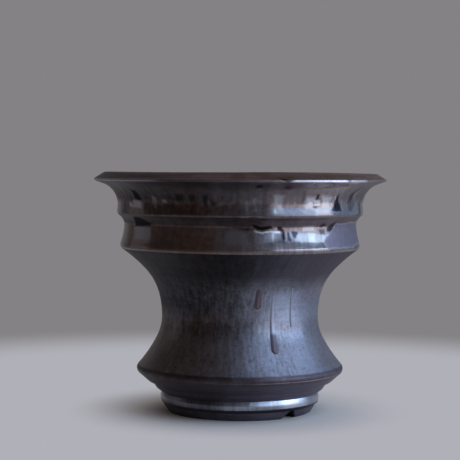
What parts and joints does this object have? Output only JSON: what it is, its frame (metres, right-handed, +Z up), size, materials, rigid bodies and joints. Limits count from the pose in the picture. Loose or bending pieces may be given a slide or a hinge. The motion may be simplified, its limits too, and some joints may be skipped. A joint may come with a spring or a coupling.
{
  "type": "flower pot",
  "caption": "Round waisted flower pot of glazed stoneware with a flared lip, a banded collar and a notched foot ring.",
  "frame": {"origin": "centre of the foot ring's ground face, on the pot's axis", "axes": "+Z up along the pot's axis, the side seen first faces -Y"},
  "size_m": [0.2596, 0.2596, 0.211],
  "materials": {
    "bare_clay": "matt dark stoneware with fine throwing rings",
    "foot_clay": "matt dark stoneware, wiped clean of glaze",
    "collar_glaze": "glossy metallic gunmetal with brown streaks",
    "stem_glaze": "satin gunmetal with speckle and faint runs",
    "skirt_glaze": "matt purple-brown",
    "foot_glaze": "satin gunmetal",
    "run_glaze": "satin reddish brown"
  },
  "bodies": {
    "root": {"stoneware_body": "bare_clay", "foot_ring": "foot_clay", "collar_glaze": "collar_glaze", "stem_glaze": "stem_glaze", "skirt_glaze": "skirt_glaze", "foot_glaze": "foot_glaze", "glaze_runs": "run_glaze"}
  },
  "joints": []
}
